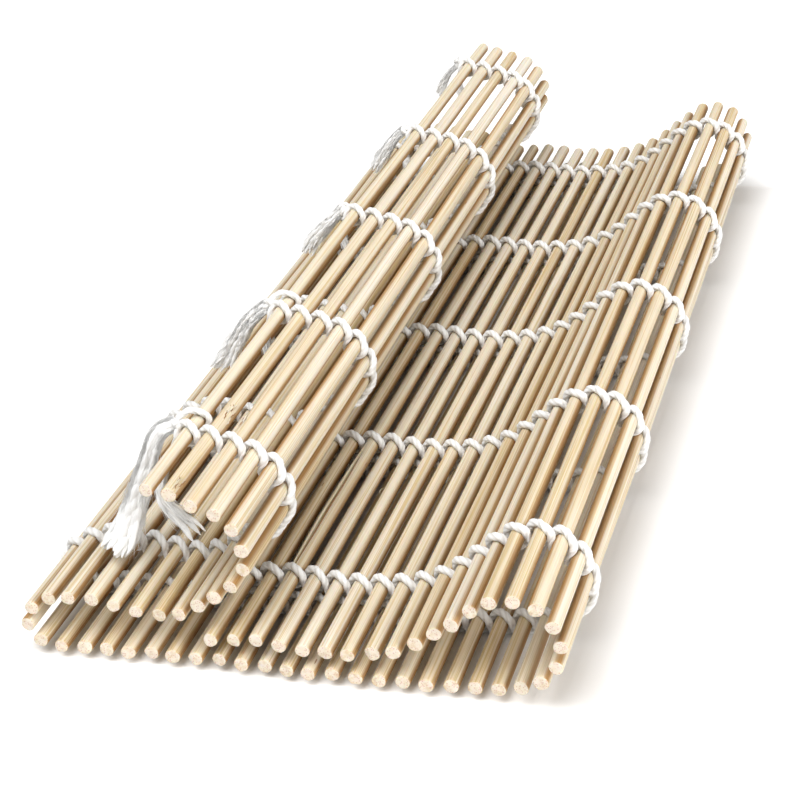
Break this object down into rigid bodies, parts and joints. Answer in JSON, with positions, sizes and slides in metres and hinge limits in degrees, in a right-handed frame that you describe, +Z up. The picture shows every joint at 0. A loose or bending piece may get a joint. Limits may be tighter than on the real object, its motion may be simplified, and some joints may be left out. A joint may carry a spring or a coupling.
{
  "type": "sushi rolling mat",
  "caption": "Rolling mat of round bamboo slats bound side by side by cotton strings, lying half rolled up, folded under at one side and humped at the other.",
  "frame": {"origin": "on the table, under the middle of the part's box", "axes": "+Z up, +Y along the slats from their near ends to their far ends, +X across the slats from the roll towards the hump"},
  "size_m": [0.097, 0.2372, 0.036],
  "materials": {
    "bamboo": "plain split bamboo, dry and matt",
    "cotton": "white plied cotton yarn"
  },
  "bodies": {
    "lower_layer": {"slats_28_29": "bamboo", "slats_30_31": "bamboo", "slats_32_33": "bamboo", "slats_34_35": "bamboo", "slats_36_37": "bamboo", "slats_38_39": "bamboo", "string_1": "cotton", "string_2": "cotton", "string_3": "cotton", "string_4": "cotton", "string_5": "cotton"},
    "slat_01": {"slat_01": "bamboo"},
    "slat_02": {"slat_02": "bamboo"},
    "slat_03": {"slat_03": "bamboo"},
    "slat_04": {"slat_04": "bamboo"},
    "slat_05": {"slat_05": "bamboo"},
    "slat_06": {"slat_06": "bamboo"},
    "slat_07": {"slat_07": "bamboo"},
    "slat_08": {"slat_08": "bamboo"},
    "slat_09": {"slat_09": "bamboo"},
    "slat_10": {"slat_10": "bamboo"},
    "slat_11": {"slat_11": "bamboo"},
    "slat_12": {"slat_12": "bamboo"},
    "slat_13": {"slat_13": "bamboo"},
    "slat_14": {"slat_14": "bamboo"},
    "slat_15": {"slat_15": "bamboo"},
    "slat_16": {"slat_16": "bamboo"},
    "slat_17": {"slat_17": "bamboo"},
    "slat_18": {"slat_18": "bamboo"},
    "slat_19": {"slat_19": "bamboo"},
    "slat_20": {"slat_20": "bamboo"},
    "slat_21": {"slat_21": "bamboo"},
    "slat_22": {"slat_22": "bamboo"},
    "slat_23": {"slat_23": "bamboo"},
    "slat_24": {"slat_24": "bamboo"},
    "slat_25": {"slat_25": "bamboo"},
    "slat_26": {"slat_26": "bamboo"},
    "slat_27": {"slat_27": "bamboo"},
    "slat_40": {"slat_40": "bamboo"},
    "slat_41": {"slat_41": "bamboo"},
    "slat_42": {"slat_42": "bamboo"},
    "slat_43": {"slat_43": "bamboo"},
    "slat_44": {"slat_44": "bamboo"},
    "slat_45": {"slat_45": "bamboo"},
    "slat_46": {"slat_46": "bamboo"},
    "slat_47": {"slat_47": "bamboo"},
    "slat_48": {"slat_48": "bamboo"},
    "slat_49": {"slat_49": "bamboo"},
    "slat_50": {"slat_50": "bamboo"},
    "slat_51": {"slat_51": "bamboo"},
    "slat_52": {"slat_52": "bamboo"},
    "slat_53": {"slat_53": "bamboo"},
    "slat_54": {"slat_54": "bamboo"},
    "slat_55": {"slat_55": "bamboo"},
    "slat_56": {"slat_56": "bamboo"},
    "slat_57": {"slat_57": "bamboo"},
    "slat_58": {"slat_58": "bamboo"},
    "slat_59": {"slat_59": "bamboo"},
    "slat_60": {"slat_60": "bamboo"},
    "slat_61": {"slat_61": "bamboo"}
  },
  "joints": [
    {"name": "gap_01_02", "type": "hinge", "parent": "slat_02", "child": "slat_01", "pos_m": [-0.01975, 0.00026, 0.03339], "axis": [0, -1, 0], "range_deg": [-2, 0]},
    {"name": "gap_02_03", "type": "hinge", "parent": "slat_03", "child": "slat_02", "pos_m": [-0.01584, 0.00026, 0.03253], "axis": [0, -1, 0], "range_deg": [-2, 0]},
    {"name": "gap_03_04", "type": "hinge", "parent": "slat_04", "child": "slat_03", "pos_m": [-0.01197, 0.00026, 0.03153], "axis": [0, -1, 0], "range_deg": [-12, 0]},
    {"name": "gap_04_05", "type": "hinge", "parent": "slat_05", "child": "slat_04", "pos_m": [-0.00839, 0.00026, 0.02974], "axis": [0, -1, 0], "range_deg": [-28, 0]},
    {"name": "gap_05_06", "type": "hinge", "parent": "slat_06", "child": "slat_05", "pos_m": [-0.00607, 0.00026, 0.02648], "axis": [0, -1, 0], "range_deg": [-28, 0]},
    {"name": "gap_06_07", "type": "hinge", "parent": "slat_07", "child": "slat_06", "pos_m": [-0.00555, 0.00026, 0.02252], "axis": [0, -1, 0], "range_deg": [-28, 0]},
    {"name": "gap_07_08", "type": "hinge", "parent": "slat_08", "child": "slat_07", "pos_m": [-0.00695, 0.00026, 0.01877], "axis": [0, -1, 0], "range_deg": [-28, 0]},
    {"name": "gap_08_09", "type": "hinge", "parent": "slat_09", "child": "slat_08", "pos_m": [-0.00994, 0.00026, 0.01612], "axis": [0, -1, 0], "range_deg": [-3.5, 0]},
    {"name": "gap_09_10", "type": "hinge", "parent": "slat_10", "child": "slat_09", "pos_m": [-0.0131, 0.00026, 0.01366], "axis": [0, -1, 0], "range_deg": [-3.5, 0]},
    {"name": "gap_10_11", "type": "hinge", "parent": "slat_11", "child": "slat_10", "pos_m": [-0.01639, 0.00026, 0.01139], "axis": [0, -1, 0], "range_deg": [-15.5, 0]},
    {"name": "gap_11_12", "type": "hinge", "parent": "slat_12", "child": "slat_11", "pos_m": [-0.02017, 0.00026, 0.01009], "axis": [0, -1, 0], "range_deg": [-15.5, 0]},
    {"name": "gap_12_13", "type": "hinge", "parent": "slat_13", "child": "slat_12", "pos_m": [-0.02417, 0.00026, 0.00985], "axis": [0, -1, 0], "range_deg": [-15.5, 0]},
    {"name": "gap_13_14", "type": "hinge", "parent": "slat_14", "child": "slat_13", "pos_m": [-0.02808, 0.00026, 0.01068], "axis": [0, -1, 0], "range_deg": [0, 1]},
    {"name": "gap_14_15", "type": "hinge", "parent": "slat_15", "child": "slat_14", "pos_m": [-0.03201, 0.00026, 0.01144], "axis": [0, -1, 0], "range_deg": [0, 1]},
    {"name": "gap_15_16", "type": "hinge", "parent": "slat_16", "child": "slat_15", "pos_m": [-0.03595, 0.00026, 0.01214], "axis": [0, -1, 0], "range_deg": [0, 16.5]},
    {"name": "gap_16_17", "type": "hinge", "parent": "slat_17", "child": "slat_16", "pos_m": [-0.03992, 0.00026, 0.01168], "axis": [0, -1, 0], "range_deg": [0, 16.5]},
    {"name": "gap_17_18", "type": "hinge", "parent": "slat_18", "child": "slat_17", "pos_m": [-0.0436, 0.00026, 0.01012], "axis": [0, -1, 0], "range_deg": [0, 17.5]},
    {"name": "gap_18_19", "type": "hinge", "parent": "slat_19", "child": "slat_18", "pos_m": [-0.04664, 0.00026, 0.00752], "axis": [0, -1, 0], "range_deg": [0, 61]},
    {"name": "gap_19_20", "type": "hinge", "parent": "slat_20", "child": "slat_19", "pos_m": [-0.04585, 0.00026, 0.0036], "axis": [0, -1, 0], "range_deg": [0, 61]},
    {"name": "gap_20_21", "type": "hinge", "parent": "slat_21", "child": "slat_20", "pos_m": [-0.04203, 0.00026, 0.0024], "axis": [0, -1, 0], "range_deg": [0, 17.5]},
    {"name": "gap_21_22", "type": "hinge", "parent": "slat_22", "child": "slat_21", "pos_m": [-0.03803, 0.00026, 0.0024], "axis": [0, 1, 0], "range_deg": [0, 2.2]},
    {"name": "gap_22_23", "type": "hinge", "parent": "slat_23", "child": "slat_22", "pos_m": [-0.03403, 0.00026, 0.0024], "axis": [0, 1, 0], "range_deg": [0, 2.2]},
    {"name": "gap_23_24", "type": "hinge", "parent": "slat_24", "child": "slat_23", "pos_m": [-0.03003, 0.00026, 0.0024], "axis": [0, 1, 0], "range_deg": [0, 2.2]},
    {"name": "gap_24_25", "type": "hinge", "parent": "slat_25", "child": "slat_24", "pos_m": [-0.02603, 0.00026, 0.0024], "axis": [0, 1, 0], "range_deg": [0, 2.2]},
    {"name": "gap_25_26", "type": "hinge", "parent": "slat_26", "child": "slat_25", "pos_m": [-0.02203, 0.00026, 0.0024], "axis": [0, 1, 0], "range_deg": [0, 2.2]},
    {"name": "gap_26_27", "type": "hinge", "parent": "slat_27", "child": "slat_26", "pos_m": [-0.01803, 0.00026, 0.0024], "axis": [0, 1, 0], "range_deg": [0, 2.2]},
    {"name": "gap_27_28", "type": "hinge", "parent": "lower_layer", "child": "slat_27", "pos_m": [-0.01403, 0.00026, 0.0024], "axis": [0, 1, 0], "range_deg": [0, 2.2]},
    {"name": "gap_39_40", "type": "hinge", "parent": "lower_layer", "child": "slat_40", "pos_m": [0.03397, 0.00026, 0.0024], "axis": [0, 1, 0], "range_deg": [0, 9]},
    {"name": "gap_40_41", "type": "hinge", "parent": "slat_40", "child": "slat_41", "pos_m": [0.03791, 0.00026, 0.00309], "axis": [0, 1, 0], "range_deg": [0, 9]},
    {"name": "gap_41_42", "type": "hinge", "parent": "slat_41", "child": "slat_42", "pos_m": [0.04167, 0.00026, 0.00446], "axis": [0, 1, 0], "range_deg": [0, 16.2]},
    {"name": "gap_42_43", "type": "hinge", "parent": "slat_42", "child": "slat_43", "pos_m": [0.04482, 0.00026, 0.00693], "axis": [0, 1, 0], "range_deg": [0, 24.75]},
    {"name": "gap_43_44", "type": "hinge", "parent": "slat_43", "child": "slat_44", "pos_m": [0.04648, 0.00026, 0.01057], "axis": [0, 1, 0], "range_deg": [0, 24.75]},
    {"name": "gap_44_45", "type": "hinge", "parent": "slat_44", "child": "slat_45", "pos_m": [0.04627, 0.00026, 0.01456], "axis": [0, 1, 0], "range_deg": [0, 24.75]},
    {"name": "gap_45_46", "type": "hinge", "parent": "slat_45", "child": "slat_46", "pos_m": [0.04424, 0.00026, 0.01801], "axis": [0, 1, 0], "range_deg": [0, 24.75]},
    {"name": "gap_46_47", "type": "hinge", "parent": "slat_46", "child": "slat_47", "pos_m": [0.04085, 0.00026, 0.02013], "axis": [0, 1, 0], "range_deg": [0, 24.75], "deforming": ["string_1", "string_2", "string_3", "string_4", "string_5"]},
    {"name": "gap_47_48", "type": "hinge", "parent": "slat_47", "child": "slat_48", "pos_m": [0.03686, 0.00026, 0.02044], "axis": [0, 1, 0], "range_deg": [0, 24.75]},
    {"name": "gap_48_49", "type": "hinge", "parent": "slat_48", "child": "slat_49", "pos_m": [0.03318, 0.00026, 0.01888], "axis": [0, 1, 0], "range_deg": [0, 18]},
    {"name": "gap_49_50", "type": "hinge", "parent": "slat_49", "child": "slat_50", "pos_m": [0.03025, 0.00026, 0.01615], "axis": [0, 1, 0], "range_deg": [-1.8, 0]},
    {"name": "gap_50_51", "type": "hinge", "parent": "slat_50", "child": "slat_51", "pos_m": [0.02723, 0.00026, 0.01352], "axis": [0, 1, 0], "range_deg": [-1.8, 0]},
    {"name": "gap_51_52", "type": "hinge", "parent": "slat_51", "child": "slat_52", "pos_m": [0.02412, 0.00026, 0.01101], "axis": [0, 1, 0], "range_deg": [-8.55, 0]},
    {"name": "gap_52_53", "type": "hinge", "parent": "slat_52", "child": "slat_53", "pos_m": [0.02064, 0.00026, 0.00904], "axis": [0, 1, 0], "range_deg": [-8.55, 0]},
    {"name": "gap_53_54", "type": "hinge", "parent": "slat_53", "child": "slat_54", "pos_m": [0.01688, 0.00026, 0.00767], "axis": [0, 1, 0], "range_deg": [-8.55, 0]},
    {"name": "gap_54_55", "type": "hinge", "parent": "slat_54", "child": "slat_55", "pos_m": [0.01295, 0.00026, 0.00694], "axis": [0, 1, 0], "range_deg": [-4.05, 0]},
    {"name": "gap_55_56", "type": "hinge", "parent": "slat_55", "child": "slat_56", "pos_m": [0.00897, 0.00026, 0.00652], "axis": [0, 1, 0], "range_deg": [-4.05, 0]},
    {"name": "gap_56_57", "type": "hinge", "parent": "slat_56", "child": "slat_57", "pos_m": [0.00497, 0.00026, 0.00642], "axis": [0, 1, 0], "range_deg": [-4.05, 0]},
    {"name": "gap_57_58", "type": "hinge", "parent": "slat_57", "child": "slat_58", "pos_m": [0.00098, 0.00026, 0.00663], "axis": [0, 1, 0], "range_deg": [-4.05, 0]},
    {"name": "gap_58_59", "type": "hinge", "parent": "slat_58", "child": "slat_59", "pos_m": [-0.00299, 0.00026, 0.00715], "axis": [0, 1, 0], "range_deg": [0, 5.85]},
    {"name": "gap_59_60", "type": "hinge", "parent": "slat_59", "child": "slat_60", "pos_m": [-0.00699, 0.00026, 0.00722], "axis": [0, 1, 0], "range_deg": [0, 5.85]},
    {"name": "gap_60_61", "type": "hinge", "parent": "slat_60", "child": "slat_61", "pos_m": [-0.01097, 0.00026, 0.00684], "axis": [0, 1, 0], "range_deg": [0, 5.85]}
  ],
  "couplings": [
    {"joint": "gap_01_02", "follows": "gap_46_47", "ratio": -0.080808},
    {"joint": "gap_02_03", "follows": "gap_46_47", "ratio": -0.080808},
    {"joint": "gap_03_04", "follows": "gap_46_47", "ratio": -0.48485},
    {"joint": "gap_04_05", "follows": "gap_46_47", "ratio": -1.1313},
    {"joint": "gap_05_06", "follows": "gap_46_47", "ratio": -1.1313},
    {"joint": "gap_06_07", "follows": "gap_46_47", "ratio": -1.1313},
    {"joint": "gap_07_08", "follows": "gap_46_47", "ratio": -1.1313},
    {"joint": "gap_08_09", "follows": "gap_46_47", "ratio": -0.14141},
    {"joint": "gap_09_10", "follows": "gap_46_47", "ratio": -0.14141},
    {"joint": "gap_10_11", "follows": "gap_46_47", "ratio": -0.62626},
    {"joint": "gap_11_12", "follows": "gap_46_47", "ratio": -0.62626},
    {"joint": "gap_12_13", "follows": "gap_46_47", "ratio": -0.62626},
    {"joint": "gap_13_14", "follows": "gap_46_47", "ratio": 0.040404},
    {"joint": "gap_14_15", "follows": "gap_46_47", "ratio": 0.040404},
    {"joint": "gap_15_16", "follows": "gap_46_47", "ratio": 0.66667},
    {"joint": "gap_16_17", "follows": "gap_46_47", "ratio": 0.66667},
    {"joint": "gap_17_18", "follows": "gap_46_47", "ratio": 0.70707},
    {"joint": "gap_18_19", "follows": "gap_46_47", "ratio": 2.4646},
    {"joint": "gap_19_20", "follows": "gap_46_47", "ratio": 2.4646},
    {"joint": "gap_20_21", "follows": "gap_46_47", "ratio": 0.70707},
    {"joint": "gap_21_22", "follows": "gap_27_28", "ratio": 1},
    {"joint": "gap_22_23", "follows": "gap_27_28", "ratio": 1},
    {"joint": "gap_23_24", "follows": "gap_27_28", "ratio": 1},
    {"joint": "gap_24_25", "follows": "gap_27_28", "ratio": 1},
    {"joint": "gap_25_26", "follows": "gap_27_28", "ratio": 1},
    {"joint": "gap_26_27", "follows": "gap_27_28", "ratio": 1},
    {"joint": "gap_39_40", "follows": "gap_46_47", "ratio": 0.36364},
    {"joint": "gap_40_41", "follows": "gap_46_47", "ratio": 0.36364},
    {"joint": "gap_41_42", "follows": "gap_46_47", "ratio": 0.65455},
    {"joint": "gap_42_43", "follows": "gap_46_47", "ratio": 1},
    {"joint": "gap_43_44", "follows": "gap_46_47", "ratio": 1},
    {"joint": "gap_44_45", "follows": "gap_46_47", "ratio": 1},
    {"joint": "gap_45_46", "follows": "gap_46_47", "ratio": 1},
    {"joint": "gap_47_48", "follows": "gap_46_47", "ratio": 1},
    {"joint": "gap_48_49", "follows": "gap_46_47", "ratio": 0.72727},
    {"joint": "gap_49_50", "follows": "gap_46_47", "ratio": -0.072727},
    {"joint": "gap_50_51", "follows": "gap_46_47", "ratio": -0.072727},
    {"joint": "gap_51_52", "follows": "gap_46_47", "ratio": -0.34546},
    {"joint": "gap_52_53", "follows": "gap_46_47", "ratio": -0.34546},
    {"joint": "gap_53_54", "follows": "gap_46_47", "ratio": -0.34546},
    {"joint": "gap_54_55", "follows": "gap_46_47", "ratio": -0.16364},
    {"joint": "gap_55_56", "follows": "gap_46_47", "ratio": -0.16364},
    {"joint": "gap_56_57", "follows": "gap_46_47", "ratio": -0.16364},
    {"joint": "gap_57_58", "follows": "gap_46_47", "ratio": -0.16364},
    {"joint": "gap_58_59", "follows": "gap_46_47", "ratio": 0.23636},
    {"joint": "gap_59_60", "follows": "gap_46_47", "ratio": 0.23636},
    {"joint": "gap_60_61", "follows": "gap_46_47", "ratio": 0.23636}
  ]
}
